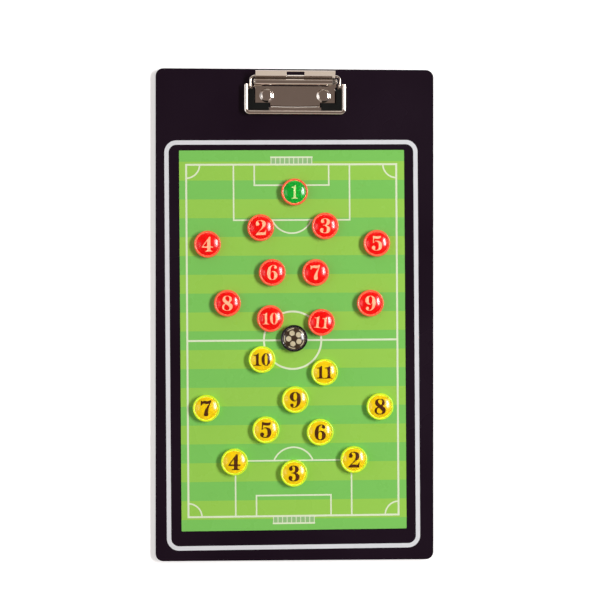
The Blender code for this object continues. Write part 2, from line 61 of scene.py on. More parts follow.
def start_finish(name, values):
    """A material with its node tree and its shader, whose plain values are set."""
    made = bpy.data.materials.new(name)
    made.use_nodes = True
    tree = made.node_tree
    shader = tree.nodes["Principled BSDF"]
    for socket, value in values.items():
        shader.inputs[socket].default_value = value
    return made, tree, shader


def build_surface_marks():
    """Shared by every finish: fine grain, slow clouding and sparse scratches, all from 0 to 1."""
    group = bpy.data.node_groups.new("surface_marks", "ShaderNodeTree")
    for name, value in (("Grain Scale", 900.0), ("Cloud Scale", 30.0), ("Scratch Scale", 260.0)):
        socket = group.interface.new_socket(name=name, in_out="INPUT", socket_type="NodeSocketFloat")
        socket.default_value = value
    for name in ("Grain", "Cloud", "Scratches"):
        group.interface.new_socket(name=name, in_out="OUTPUT", socket_type="NodeSocketFloat")
    given = group.nodes.new("NodeGroupInput").outputs
    place = add_node(group, "ShaderNodeTexCoord", {}).outputs["Object"]
    grain = add_node(group, "ShaderNodeTexNoise",
                     {"Vector": place, "Scale": given["Grain Scale"], "Detail": 3.0})
    cloud = add_node(group, "ShaderNodeTexNoise",
                     {"Vector": place, "Scale": given["Cloud Scale"], "Detail": 4.0})
    lines = []
    for turn in (0.5, 2.1):
        turned = add_node(group, "ShaderNodeMapping",
                          {"Vector": place, "Rotation": (0, 0, turn), "Scale": (1, 0.03, 1)})
        noise = add_node(group, "ShaderNodeTexNoise", {"Vector": turned.outputs["Vector"], "Detail": 1.0,
                                                       "Scale": given["Scratch Scale"]})
        line = add_node(group, "ShaderNodeMapRange",
                        {"Value": noise.outputs["Fac"], "From Min": 0.68, "From Max": 0.76})
        lines.append(line.outputs["Result"])
    both = add_node(group, "ShaderNodeMath", {0: lines[0], 1: lines[1]}, operation="MAXIMUM")
    results = add_node(group, "NodeGroupOutput", {})
    group.links.new(grain.outputs["Fac"], results.inputs["Grain"])
    group.links.new(cloud.outputs["Fac"], results.inputs["Cloud"])
    group.links.new(both.outputs["Value"], results.inputs["Scratches"])
    return group


surface_marks = build_surface_marks()


def marked_finish(name, values, colours, roughness, bump, scales=(900, 30, 260), scratches=0.0):
    """A finish clouded between two colours and two roughnesses, with grain and scratches raised on it."""
    made, tree, shader = start_finish(name, values)
    marks = add_node(tree, "ShaderNodeGroup", {}, node_tree=surface_marks)
    for socket, value in zip(("Grain Scale", "Cloud Scale", "Scratch Scale"), scales):
        marks.inputs[socket].default_value = value
    cloud = marks.outputs["Cloud"]
    deep, pale = ((*colour, 1) for colour in colours)
    colour = add_node(tree, "ShaderNodeMix", {0: cloud, 6: deep, 7: pale}, data_type="RGBA")
    tree.links.new(colour.outputs[2], shader.inputs["Base Color"])
    rough = add_node(tree, "ShaderNodeMapRange", {"Value": cloud, "From Min": 0.3, "From Max": 0.7,
                                                  "To Min": roughness[0], "To Max": roughness[1]})
    tree.links.new(rough.outputs["Result"], shader.inputs["Roughness"])
    height = add_node(tree, "ShaderNodeMath", {0: marks.outputs["Scratches"], 1: -scratches,
                                               2: marks.outputs["Grain"]}, operation="MULTIPLY_ADD")
    raised = add_node(tree, "ShaderNodeBump",
                      {"Height": height.outputs["Value"], "Strength": 1.0, "Distance": bump})
    tree.links.new(raised.outputs["Normal"], shader.inputs["Normal"])
    return made


def dress(node, finish):
    """Gives a node of the frame its finish."""
    for held in nodes[node].material_slots:
        held.material = finish


film_finish = marked_finish(
    "laminated_film", {"Specular IOR Level": 0.22}, ((0.0030, 0.0002, 0.0035), (0.0160, 0.0075, 0.0170)),
    (0.22, 0.30), 0.000003, (1400, 7, 300), 0.6)
core_finish = marked_finish(
    "core_edge", {"Specular IOR Level": 0.35}, ((0.008, 0.007, 0.009), (0.016, 0.014, 0.017)),
    (0.5, 0.7), 0.00004, (2600, 120, 900), 0.5)
back_finish = marked_finish(
    "back_film", {"Specular IOR Level": 0.35}, ((0.004, 0.003, 0.005), (0.022, 0.019, 0.022)),
    (0.34, 0.58), 0.000018, (1100, 16, 300), 0.6)
steel_finish = marked_finish(
    "steel_sheet", {"Metallic": 1.0}, ((0.42, 0.41, 0.39), (0.50, 0.49, 0.47)), (0.3, 0.45), 0.00001)
dress("printed_film", film_finish)
dress("core_panel", core_finish)
dress("back_film", back_finish)
dress("steel_sheet", steel_finish)
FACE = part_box("printed_film")[1].z


# The print: a white rounded frame round a striped green pitch with pale lines, all thin layers of ink.
# The ink lies a few hundredths of a millimetre proud, and the whole print sits a little askew.

INK = 0.00002
PRINT_CENTRE = (-0.0016, -0.0215)
PRINT_TURN = radians(0.4)


def edit_mode():
    bpy.ops.object.mode_set(mode="EDIT")


def object_mode():
    bpy.ops.object.mode_set(mode="OBJECT")


def select_all():
    """In edit mode, selects the whole piece."""
    bpy.ops.mesh.select_all(action="SELECT")


def deselect_objects():
    bpy.ops.object.select_all(action="DESELECT")


def only_select(piece):
    """Selects and makes active one object, and nothing else."""
    deselect_objects()
    piece.select_set(True)
    bpy.context.view_layer.objects.active = piece


def apply_modifiers(piece):
    only_select(piece)
    for modifier in list(piece.modifiers):
        bpy.ops.object.modifier_apply(modifier=modifier.name)


def settle(name, size=(1, 1, 1)):
    """Names the new primitive, brings it to its size, and puts its place into its mesh."""
    made = bpy.context.object
    made.name = name
    made.scale = size
    bpy.ops.object.transform_apply(location=True, rotation=False, scale=True)
    return made


def start_sheet(name, low, high, level=0.0):
    """A flat rectangle between two corners, as a surface that is still to be thickened."""
    deselect_objects()
    bpy.ops.mesh.primitive_plane_add(size=1, location=((low[0] + high[0]) / 2, (low[1] + high[1]) / 2, 0))
    made = settle(name, (high[0] - low[0], high[1] - low[1], 1))
    made.data.transform(Matrix.Translation((0, 0, level)))
    return made


def round_corners(piece, radius, segments):
    only_select(piece)
    edit_mode()
    select_all()
    bpy.ops.mesh.bevel(offset=radius, segments=segments, affect="VERTICES")
    object_mode()


def close_mesh(merge=0.0):
    """In edit mode, merges points that lie that close, and turns all faces outwards."""
    select_all()
    if merge:
        bpy.ops.mesh.remove_doubles(threshold=merge)
    bpy.ops.mesh.normals_make_consistent(inside=False)


def thicken(piece, thickness, offset, bent=False):
    """Gives a sheet its thickness: before its faces for 1, to both sides for 0, behind them for -1.
    A bent sheet keeps the same thickness round its bends."""
    wall = piece.modifiers.new("thickness", "SOLIDIFY")
    wall.thickness = thickness
    wall.offset = offset
    wall.use_even_offset = bent
    apply_modifiers(piece)
    edit_mode()
    close_mesh()
    object_mode()


def cut_across(place, normal, **clearing):
    """In edit mode, cuts the whole piece along a plane."""
    bpy.ops.mesh.select_mode(type="VERT")
    select_all()
    bpy.ops.mesh.bisect(plane_co=place, plane_no=normal, **clearing)


def fit(piece, finish, body, replaced=None):
    """Gives a finished piece its material and its body, and hides the node that it stands for."""
    piece.data.materials.clear()
    piece.data.materials.append(finish)
    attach(piece, body)
    if replaced:
        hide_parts(replaced)


def lay_print(piece, level, ink):
    """Turns a print with the rest of the artwork, and lays it on the film at its level."""
    centre = Vector((*PRINT_CENTRE, 0))
    turn = Matrix.Translation(centre) @ Matrix.Rotation(PRINT_TURN, 4, "Z") @ Matrix.Translation(-centre)
    piece.data.transform(Matrix.Translation((0, 0, level)) @ turn)
    fit(piece, ink, "board")


def print_ink(name, gloss, deep, pale):
    return marked_finish(name, {"Specular IOR Level": gloss}, (deep, pale), (0.24, 0.32), 0.000003,
                         (1400, 40, 300), 0.5)


white_ink = print_ink("white_ink", 0.35, (0.645, 0.665, 0.70), (0.705, 0.725, 0.76))
line_ink = print_ink("line_ink", 0.35, (0.69, 0.78, 0.555), (0.745, 0.84, 0.60))
dark_green = print_ink("dark_green_ink", 0.22, (0.190, 0.545, 0.106), (0.197, 0.557, 0.112))
light_green = print_ink("light_green_ink", 0.22, (0.292, 0.588, 0.081), (0.304, 0.601, 0.087))
net_green = print_ink("net_green_ink", 0.35, (0.270, 0.500, 0.200), (0.300, 0.540, 0.230))

# The frame line
FRAME_LOW = (-0.1012, -0.1837)
FRAME_HIGH = (0.0975, 0.1368)
FRAME_ROUNDING = 0.0095
FRAME_WIDTH = 0.0034
frame_line = start_sheet("frame_line", FRAME_LOW, FRAME_HIGH)
round_corners(frame_line, FRAME_ROUNDING, 14)
edit_mode()
select_all()
bpy.ops.mesh.inset(thickness=FRAME_WIDTH)
bpy.ops.mesh.delete(type="FACE")
object_mode()
thicken(frame_line, INK, 1)
lay_print(frame_line, FACE, white_ink)

# The striped field
STRIPE = 0.01473
FIELD_LOW = (-0.0897, -0.1687)
FIELD_HIGH = (0.0868, 0.1289)
FIELD_ROUNDING = 0.0006
FIRST_EDGE = 0.1201
field = start_sheet("pitch_field", FIELD_LOW, FIELD_HIGH)
round_corners(field, FIELD_ROUNDING, 3)
edit_mode()
edge = FIRST_EDGE
while edge > FIELD_LOW[1]:
    cut_across((0, edge, 0), (0, 1, 0))
    edge -= STRIPE
object_mode()
for face in field.data.polygons:
    stripes_down = ceil((FIRST_EDGE - face.center.y) / STRIPE)
    face.material_index = stripes_down % 2
thicken(field, INK, 1)
stripe_indices = [face.material_index for face in field.data.polygons]
lay_print(field, FACE, dark_green)
field.data.materials.append(light_green)
for face, index in zip(field.data.polygons, stripe_indices):
    face.material_index = index

# The pale lines of the pitch
MIDDLE = -0.00185
TOUCH = 0.0824
HALFWAY = -0.0200
GOAL_LINE = 0.1377
AREAS = ((0.0455, 0.0435), (0.0292, 0.0162))  # half width and depth
ARC_AWAY = 0.0373
ARC_RADIUS = 0.0165
ARC_SWEEP = 138
CORNER_RADIUS = 0.0105
CIRCLE_RADIUS = 0.0225
GOAL_SIDE = 0.0160
GOAL_DEPTH = 0.0057
NET_CELLS = 9
OUTER_LINE = 0.0015
INNER_LINE = 0.0012
NET_LINE = 0.0006
NET_ROUNDING = 0.0003
line_parts = []


def rule_line(start, end, width):
    """A straight line between two points, as a thin bar that runs along X or Y."""
    half = width / 2
    low = (min(start[0], end[0]) - half, min(start[1], end[1]) - half)
    high = (max(start[0], end[0]) + half, max(start[1], end[1]) + half)
    bar = start_sheet("line_part", low, high)
    thicken(bar, INK, 1)
    line_parts.append(bar)


def rule_arc(centre, radius, start, end, width, steps):
    """A curved line, spun from its cross section."""
    deselect_objects()
    bpy.ops.mesh.primitive_plane_add(size=1, location=(0, 0, 0), rotation=(pi / 2, 0, 0))
    made = bpy.context.object
    made.name = "line_part"
    made.scale = (width, INK, 1)
    bpy.ops.object.transform_apply(location=False, rotation=True, scale=True)
    made.data.transform(Matrix.Translation((radius, 0, INK / 2)))
    made.data.transform(Matrix.Rotation(radians(start), 4, "Z"))
    made.data.transform(Matrix.Translation((*centre, 0)))
    edit_mode()
    select_all()
    bpy.ops.mesh.spin(steps=steps, angle=radians(end - start), center=(*centre, 0), axis=(0, 0, -1))
    close_mesh()
    object_mode()
    line_parts.append(made)


left, right = MIDDLE - TOUCH, MIDDLE + TOUCH
rule_line((left, HALFWAY), (right, HALFWAY), OUTER_LINE)
for end in (1, -1):
    goal_line = HALFWAY + end * GOAL_LINE
    touch_line = MIDDLE + end * TOUCH
    rule_line((left, goal_line), (right, goal_line), OUTER_LINE)
    rule_line((touch_line, HALFWAY - GOAL_LINE), (touch_line, HALFWAY + GOAL_LINE), OUTER_LINE)
    for half_width, depth in AREAS:
        front = goal_line - end * depth
        for x in (MIDDLE - half_width, MIDDLE + half_width):
            rule_line((x, goal_line), (x, front), INNER_LINE)
        rule_line((MIDDLE - half_width, front), (MIDDLE + half_width, front), INNER_LINE)
    goal_back = goal_line + end * GOAL_DEPTH
    rule_line((MIDDLE - GOAL_SIDE, goal_back), (MIDDLE + GOAL_SIDE, goal_back), INNER_LINE)
    for cell in range(NET_CELLS + 1):
        x = MIDDLE - GOAL_SIDE + cell * 2 * GOAL_SIDE / NET_CELLS
        rule_line((x, goal_line), (x, goal_back), NET_LINE)
    spot = (MIDDLE, goal_line - end * ARC_AWAY)
    start = (270 if end > 0 else 90) - ARC_SWEEP / 2
    rule_arc(spot, ARC_RADIUS, start, start + ARC_SWEEP, INNER_LINE, 32)
    for side in (1, -1):
        toward = {(1, 1): 180, (-1, 1): 270, (-1, -1): 0, (1, -1): 90}[(side, end)]
        rule_arc((MIDDLE + side * TOUCH, goal_line), CORNER_RADIUS, toward, toward + 90, INNER_LINE, 18)
for start in (0, 180):
    rule_arc((MIDDLE, HALFWAY), CIRCLE_RADIUS, start, start + 181, OUTER_LINE, 64)

last_part = line_parts.pop()
only_select(line_parts[0])
for part in line_parts:
    part.select_set(True)
bpy.ops.object.join()
pitch_lines = bpy.context.object
pitch_lines.name = "pitch_lines"
union = pitch_lines.modifiers.new("one_outline", "BOOLEAN")
union.operation = "UNION"
union.object = last_part
union.use_self = True
apply_modifiers(pitch_lines)
bpy.data.objects.remove(last_part)
lay_print(pitch_lines, FACE + 1.5 * INK, line_ink)

for name, end in (("top_goal_net", 1), ("bottom_goal_net", -1)):
    inside = HALFWAY + end * GOAL_LINE
    outside = inside + end * GOAL_DEPTH
    low, high = min(inside, outside), max(inside, outside)
    tint = start_sheet(name, (MIDDLE - GOAL_SIDE, low), (MIDDLE + GOAL_SIDE, high))
    round_corners(tint, NET_ROUNDING, 2)
    thicken(tint, INK / 2, 1)
    lay_print(tint, FACE + INK, net_green)


# The clip's base plate: pressed from nickel-plated steel sheet, with two upright ears for the pin, a
# window under the roll for the spring, and a round boss raised about each rivet. It lies on the film,
# and is riveted through the panel.

SHEET = 0.0008
PLATE_LOW = FACE + 0.0001
PLATE_HIGH = PLATE_LOW + SHEET
PLATE_SIDE = 0.0312
PLATE_FRONT = 0.1659
PLATE_REAR = 0.1843
SHOULDER = 0.1779
TONGUE_SIDE = 0.0195
TONGUE_FRONT = 0.16305
TONGUE_BOW = 0.0006
TONGUE_ROUNDING = 0.0006
WINDOW_SIDE = 0.0262
WINDOW_FRONT = 0.1789
WINDOW_REAR = 0.1815
WINDOW_ROUNDING = 0.0006
EAR_OUTSIDE = 0.0323
EAR_RADIUS = 0.0022
BOSS_FOOT = PLATE_HIGH + 0.00001
BOSS_RADIUS = 0.0056
BOSS_SLOPE = 0.0015
BOSS_HEIGHT = 0.0008
RIVET_PLACES = {"left": Vector((-0.02225, 0.1716, 0)), "right": Vector((0.02225, 0.1716, 0))}
SHANK_HOLE = 0.0022
PIN_HOLE = 0.0008

low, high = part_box("hinge_pin")
HINGE = (low + high) / 2
nickel = marked_finish(
    "nickel_plate", {"Metallic": 1.0}, ((0.77, 0.70, 0.64), (0.84, 0.77, 0.705)),
    (0.07, 0.13), 0.000001, (2400, 60, 700), 0.8)


def select_faces(piece, wanted):
    """In edit mode, selects the faces whose centre and normal are wanted."""
    bpy.ops.mesh.select_mode(type="FACE")
    bpy.ops.mesh.select_all(action="DESELECT")
    object_mode()
    for face in piece.data.polygons:
        face.select = wanted(face.center, face.normal)
    edit_mode()


def select_edges(piece, wanted):
    """In edit mode, selects the edges whose two ends are wanted."""
    bpy.ops.mesh.select_mode(type="EDGE")
    bpy.ops.mesh.select_all(action="DESELECT")
    object_mode()
    verts = piece.data.vertices
    for edge in piece.data.edges:
        edge.select = wanted(*(verts[index].co for index in edge.vertices))
    edit_mode()


def bevel_ring(piece, radius, level, width, segments):
    """In edit mode, rounds the circular edge of that radius at that height."""
    select_edges(piece, lambda *ends: all(abs(end.xy.length - radius) < 1e-5 and abs(end.z - level) < 1e-5
                                          for end in ends))
    bpy.ops.mesh.bevel(offset=width, segments=segments)


def extrude(travel):
    bpy.ops.mesh.extrude_region_move(TRANSFORM_OT_translate={"value": travel})


def start_disc(name, radius, low, high, sides):
    deselect_objects()
    bpy.ops.mesh.primitive_cylinder_add(vertices=sides, radius=radius, depth=high - low,
                                        location=(0, 0, (low + high) / 2))
    return settle(name)


def start_block(name, low, high):
    low, high = Vector(low), Vector(high)
    deselect_objects()
    bpy.ops.mesh.primitive_cube_add(size=1, location=(low + high) / 2)
    return settle(name, high - low)


def inset_through(radius, height, profile):
    """In edit mode, insets and raises a disc's selected end through pairs of radius and height."""
    for next_radius, next_height in profile:
        bpy.ops.mesh.inset(thickness=radius - next_radius, depth=next_height - height)
        radius, height = next_radius, next_height


def cut_away(piece, tool, place=(0, 0, 0), turn=0.0):
    """Takes the tool's shape out of the piece, with the tool turned about Y and moved to its place."""
    tool.data.transform(Matrix.Translation(place) @ Matrix.Rotation(turn, 4, "Y"))
    cut = piece.modifiers.new("cut", "BOOLEAN")
    cut.operation = "DIFFERENCE"
    cut.object = tool
    apply_modifiers(piece)
    bpy.data.objects.remove(tool)


def cut_slot(piece, low, high, rounding, segments):
    """Takes a slot with rounded corners out of the piece."""
    tool = start_block("slot_tool", low, high)
    edit_mode()
    select_edges(tool, lambda a, b: abs(a.z - b.z) > 0.001)
    bpy.ops.mesh.bevel(offset=rounding, segments=segments)
    object_mode()
    cut_away(piece, tool)


def smooth_by_angle(piece, degrees):
    only_select(piece)
    bpy.ops.object.shade_smooth_by_angle(angle=radians(degrees))


def soften(piece, width, segments=3):
    """Rounds the edges of a piece, and keeps its flat faces flat to the eye."""
    if width:
        edges = piece.modifiers.new("soft_edges", "BEVEL")
        edges.width = width
        edges.segments = segments
        edges.limit_method = "ANGLE"
        edges.angle_limit = radians(40)
        apply_modifiers(piece)
    smooth_by_angle(piece, 40)
    flat = piece.modifiers.new("flat_faces", "WEIGHTED_NORMAL")
    flat.weight = 100
    flat.keep_sharp = True
    apply_modifiers(piece)


plate = start_block("pressed_plate", (-PLATE_SIDE, PLATE_FRONT, PLATE_LOW),
                    (PLATE_SIDE, PLATE_REAR, PLATE_HIGH))
edit_mode()
for x in (-TONGUE_SIDE, TONGUE_SIDE):
    cut_across((x, 0, 0), (1, 0, 0))
cut_across((0, SHOULDER, 0), (0, 1, 0))
select_faces(plate, lambda centre, normal: normal.y < -0.9 and abs(centre.x) < TONGUE_SIDE)
extrude((0, TONGUE_FRONT - PLATE_FRONT, 0))
for step in range(1, 16):
    select_faces(plate, lambda centre, normal: centre.y < PLATE_FRONT)
    bpy.ops.mesh.bisect(plane_co=(TONGUE_SIDE * (step / 8 - 1), 0, 0), plane_no=(1, 0, 0))
object_mode()
for vertex in plate.data.vertices:
    if vertex.co.y < TONGUE_FRONT + 1e-5:
        vertex.co.y += TONGUE_BOW * (vertex.co.x / TONGUE_SIDE) ** 2
edit_mode()
for side in (1, -1):
    select_faces(plate, lambda centre, normal: normal.x * side > 0.9 and centre.y > SHOULDER)
    extrude((side * (EAR_OUTSIDE - PLATE_SIDE), 0, 0))
    cut_across((side * (EAR_OUTSIDE - SHEET), 0, 0), (1, 0, 0))
for y in (HINGE.y - EAR_RADIUS, HINGE.y + EAR_RADIUS):
    cut_across((0, y, 0), (0, 1, 0))
select_faces(plate, lambda centre, normal: (normal.z > 0.9 and abs(centre.x) > EAR_OUTSIDE - SHEET
                                            and abs(centre.y - HINGE.y) < EAR_RADIUS))
extrude((0, 0, HINGE.z + EAR_RADIUS - PLATE_HIGH))
select_edges(plate, lambda a, b: (a.z + b.z > 2 * HINGE.z and abs(a.x - b.x) > SHEET / 2
                                  and abs(a.y - b.y) < SHEET / 2))
bpy.ops.mesh.bevel(offset=EAR_RADIUS - 0.0001, segments=10)
select_edges(plate, lambda a, b: (max(a.y, b.y) < PLATE_FRONT - 0.0005 and abs(a.x - b.x) > 0.001
                                  and a.z + b.z > PLATE_LOW + PLATE_HIGH + 0.0001
                                  and abs(a.y - b.y) < 0.001))
bpy.ops.mesh.bevel(offset=TONGUE_ROUNDING, segments=5)
select_all()
bpy.ops.mesh.dissolve_limited(angle_limit=radians(0.5))
object_mode()
for place in RIVET_PLACES.values():
    cut_away(plate, start_disc("hole_tool", SHANK_HOLE, 0, 0.02, 48), place)
cut_away(plate, start_disc("hole_tool", PIN_HOLE, -0.04, 0.04, 32), HINGE, pi / 2)
cut_slot(plate, (-WINDOW_SIDE, WINDOW_FRONT, 0), (WINDOW_SIDE, WINDOW_REAR, 0.006), WINDOW_ROUNDING, 5)
soften(plate, 0.00012)
fit(plate, nickel, "board", "base_plate")

for side, place in RIVET_PLACES.items():
    boss = start_disc(f"{side}_boss", BOSS_RADIUS, PLATE_HIGH - 0.0001, BOSS_FOOT, 96)
    edit_mode()
    select_faces(boss, lambda centre, normal: normal.z > 0.9)
    flank = []
    for step in range(1, 15):
        share = step / 14
        flank.append((BOSS_RADIUS - share * BOSS_SLOPE,
                      BOSS_FOOT + BOSS_HEIGHT * share * share * (3 - 2 * share)))
    inset_through(BOSS_RADIUS, BOSS_FOOT, flank)
    object_mode()
    cut_away(boss, start_disc("hole_tool", SHANK_HOLE, 0, 0.02, 48))
    boss.data.transform(Matrix.Translation(place))
    soften(boss, 0)
    fit(boss, nickel, "board")


# The rivets: nickel-plated steel, with a low round head on each boss, a shank through the plate and the
# panel, and a hollow tail rolled outwards in a recess of the back.

RIVET_SEAT = PLATE_HIGH + BOSS_HEIGHT + 0.0001
HEAD_RADIUS = 0.0043
HEAD_HEIGHT = 0.0012
SHANK_RADIUS = 0.0020
TAIL_RADIUS = 0.0034
TAIL_HIGH = 0.0012
TAIL_LOW = 0.0006
HOLLOW_RADIUS = 0.0012
HOLLOW_DEPTH = 0.0016
RIM = 0.00015
DOME_RISE = HEAD_HEIGHT - 0.00016
TAIL_ROLL = 0.0003

# Radius and height along the rolled tail, from its outer edge in to the floor of its hollow
TAIL_OUTLINE = ((TAIL_RADIUS - 0.0001, 0.00014), (TAIL_RADIUS - 0.0003, 0.00022),
                (TAIL_RADIUS - 0.0008, TAIL_ROLL), (TAIL_RADIUS - 0.0013, 0.00027),
                (HOLLOW_RADIUS + 0.0004, 0.00014), (HOLLOW_RADIUS + 0.00015, -0.0001),
                (HOLLOW_RADIUS, -0.0005), (HOLLOW_RADIUS - 0.00001, -HOLLOW_DEPTH),
                (HOLLOW_RADIUS - 0.0007, -HOLLOW_DEPTH - 0.0003))

for side, place in RIVET_PLACES.items():
    rivet = start_disc(f"{side}_round_rivet", HEAD_RADIUS, RIVET_SEAT, RIVET_SEAT + RIM, 96)
    edit_mode()
    select_faces(rivet, lambda centre, normal: normal.z > 0.9)
    dome = []
    for step in range(1, 15):
        slant = radians(6 * step)
        dome.append((HEAD_RADIUS * cos(slant), RIVET_SEAT + RIM + DOME_RISE * sin(slant)))
    inset_through(HEAD_RADIUS, RIVET_SEAT + RIM, dome)
    select_faces(rivet, lambda centre, normal: normal.z < -0.9)
    bpy.ops.mesh.inset(thickness=HEAD_RADIUS - SHANK_RADIUS)
    extrude((0, 0, TAIL_HIGH - RIVET_SEAT))
    extrude((0, 0, 0))
    bpy.ops.transform.resize(value=(TAIL_RADIUS / SHANK_RADIUS, TAIL_RADIUS / SHANK_RADIUS, 1))
    extrude((0, 0, TAIL_LOW + TAIL_ROLL - TAIL_HIGH))
    inset_through(TAIL_RADIUS, 0, TAIL_OUTLINE)
    object_mode()
    rivet.data.transform(Matrix.Translation(place))
    soften(rivet, 0)
    fit(rivet, nickel, "board", f"{side}_rivet")


# The hinge: a plain steel pin, pushed through the ears and the roll, and round it the spring of steel
# wire that closes the clip.

wire_steel = marked_finish(
    "steel_wire", {"Metallic": 1.0}, ((0.50, 0.48, 0.45), (0.58, 0.56, 0.52)),
    (0.22, 0.34), 0.000004, (2400, 60, 700), 0.8)
dress("hinge_pin", wire_steel)
dress("torsion_spring", wire_steel)


# The thumb lever: one strip of nickel-plated sheet, rolled round the pin and left straight as a thumb
# plate, with a hanging slot near its end and four pressed hooks under it for the bow's wire.

LEVER_SIDE = 0.0312
LEVER_LENGTH = 0.0092
LEVER_TURN = radians(45)
ROLL_MIDDLE = 0.00215
ROLL_SWEEP = 300
ROLL_END = 0.0291
ROLL_CLEAR = 0.00285
SLOT_SIDE = 0.0070
SLOT_LOW = 0.0043
SLOT_HIGH = 0.0085
SLOT_ROUNDING = 0.0008
HOOK_PLACES = (-0.0259, -0.0119, 0.0119, 0.0259)
HOOK_HALF = 0.0020
HOOK_BACK = 0.0042
HOOK_LIP = 0.0019
HOOK_DROP = 0.0028
LEVER_FRAME = Matrix.Translation(HINGE) @ Matrix.Rotation(LEVER_TURN, 4, "X")

lever = start_sheet("rolled_lever", (-LEVER_SIDE, 0), (LEVER_SIDE, LEVER_LENGTH), -ROLL_MIDDLE)
edit_mode()
select_edges(lever, lambda a, b: abs(a.y) < 1e-6 and abs(b.y) < 1e-6)
bpy.ops.mesh.spin(steps=60, angle=radians(ROLL_SWEEP), center=(0, 0, 0), axis=(1, 0, 0))
close_mesh(1e-7)
object_mode()
thicken(lever, SHEET, 0, bent=True)
cut_slot(lever, (-SLOT_SIDE, SLOT_LOW, -0.0035), (SLOT_SIDE, SLOT_HIGH, -0.0008), SLOT_ROUNDING, 6)
lever.data.transform(LEVER_FRAME)
cut_away(lever, start_block("roll_end_tool", (ROLL_END, HINGE.y - ROLL_CLEAR, HINGE.z - ROLL_CLEAR),
                            (LEVER_SIDE + 0.001, HINGE.y + ROLL_CLEAR, HINGE.z + ROLL_CLEAR)))
soften(lever, 0.00014)
fit(lever, nickel, "clip_lever", "thumb_lever")

for number, x in enumerate(HOOK_PLACES, 1):
    hook = start_sheet(f"wire_hook_{number}", (x - HOOK_HALF, HOOK_LIP), (x + HOOK_HALF, HOOK_BACK),
                       -ROLL_MIDDLE - HOOK_DROP)
    edit_mode()
    select_edges(hook, lambda a, b: a.y + b.y > 2 * HOOK_BACK - 1e-6)
    extrude((0, 0, HOOK_DROP - SHEET / 2))
    object_mode()
    thicken(hook, SHEET, 0, bent=True)
    hook.data.transform(LEVER_FRAME)
    soften(hook, 0.00014, 2)
    fit(hook, nickel, "clip_lever")


# The bow's wire: one round nickel-plated wire, which lies in the hooks, bends round both ends of the
# thumb plate, and goes down through the bow's flange.

WIRE_RADIUS = 0.0009
WIRE_SIDE = 0.0351
WIRE_BEND = 0.0036
WIRE_BACK = HINGE + Vector((0, 0.00449, -0.00053))
WIRE_HOLE = 0.1779
WIRE_FOOT = FACE + 0.0006
WIRE_OVER_FLANGE = FACE + 0.0034
WIRE_END_BEND = 0.0012


def add_object(name, data):
    made = bpy.data.objects.new(name, data)
    bpy.context.scene.collection.objects.link(made)
    return made


def turn_to_mesh(drawn):
    """Turns a drawn curve into a closed mesh."""
    only_select(drawn)
    bpy.ops.object.convert(target="MESH")
    edit_mode()
    close_mesh(1e-7)
    object_mode()
    return bpy.context.object


route = [(WIRE_SIDE, WIRE_HOLE, WIRE_FOOT)]
for step in range(9):
    slant = radians(180 - 90 * step / 8)
    route.append((WIRE_SIDE, WIRE_HOLE + WIRE_END_BEND * (1 + cos(slant)),
                  WIRE_OVER_FLANGE + WIRE_END_BEND * (sin(slant) - 1)))
for step in range(17):
    slant = radians(90 * step / 16)
    route.append((WIRE_SIDE + WIRE_BEND * (cos(slant) - 1),
                  WIRE_BACK.y + WIRE_BEND * (sin(slant) - 1), WIRE_BACK.z))
route += [(-x, y, z) for x, y, z in reversed(route)]
line = bpy.data.curves.new("bent_wire", "CURVE")
line.dimensions = "3D"
line.bevel_depth = WIRE_RADIUS
line.bevel_resolution = 5
line.use_fill_caps = True
spline = line.splines.new("POLY")
spline.points.add(len(route) - 1)
for knot, point in zip(spline.points, route):
    knot.co = (*point, 1)
wire = turn_to_mesh(add_object("bent_wire", line))
smooth_by_angle(wire, 50)
fit(wire, nickel, "clip_lever", "bow_wire")


# The bow: one strip of nickel-plated sheet pressed to a round bead with a flat flange inside it, and
# bent round two corners. The middle of its flange ends in a slightly bowed lip that slopes down.

BOW_SIDE = 0.0400
BOW_FRONT = 0.1566
BOW_REAR = 0.1803
BOW_SPARE = 0.020
BOW_CORNER = 0.0042
BOW_END_ROUNDING = 0.0022
BEAD_RADIUS = 0.0016
BOW_FOOT = FACE + 0.0003
FLANGE_HIGH = FACE + 0.0024
CROWN_LEVEL = FLANGE_HIGH + 0.0008
FLANGE_WIDTH = 0.0034
LIP_SIDE = 0.0190
LIP_LENGTH = 0.0011
LIP_BOW = 0.0004
LIP_FOLDS = ((0.15, 0.05), (0.15, 0.12), (0.7, 0.62))  # forward and down, in lip lengths
CORNER_INSET = BOW_CORNER - 2 * BEAD_RADIUS - 0.0002

bow = start_sheet("pressed_bow", (-BOW_SIDE, BOW_FRONT), (BOW_SIDE, BOW_REAR + BOW_SPARE), BOW_FOOT)
round_corners(bow, BOW_CORNER, 12)
edit_mode()
select_all()
extrude((0, 0, CROWN_LEVEL - BOW_FOOT))
select_faces(bow, lambda centre, normal: abs(normal.z) > 0.9 and centre.z < BOW_FOOT + 1e-5)
bpy.ops.mesh.delete(type="FACE")
select_faces(bow, lambda centre, normal: abs(normal.z) > 0.9)
crown = []
for step in range(1, 17):
    slant = pi * step / 16
    crown.append((-BEAD_RADIUS * (1 - cos(slant)), CROWN_LEVEL + BEAD_RADIUS * sin(slant)))
inset_through(0, CROWN_LEVEL, crown)
extrude((0, 0, FLANGE_HIGH - CROWN_LEVEL))
bpy.ops.mesh.inset(thickness=CORNER_INSET)
bpy.ops.mesh.remove_doubles(threshold=0.00012)
bpy.ops.mesh.inset(thickness=FLANGE_WIDTH - CORNER_INSET)
bpy.ops.mesh.delete(type="FACE")
cut_across((0, BOW_REAR, 0), (0, 1, 0), clear_outer=True)
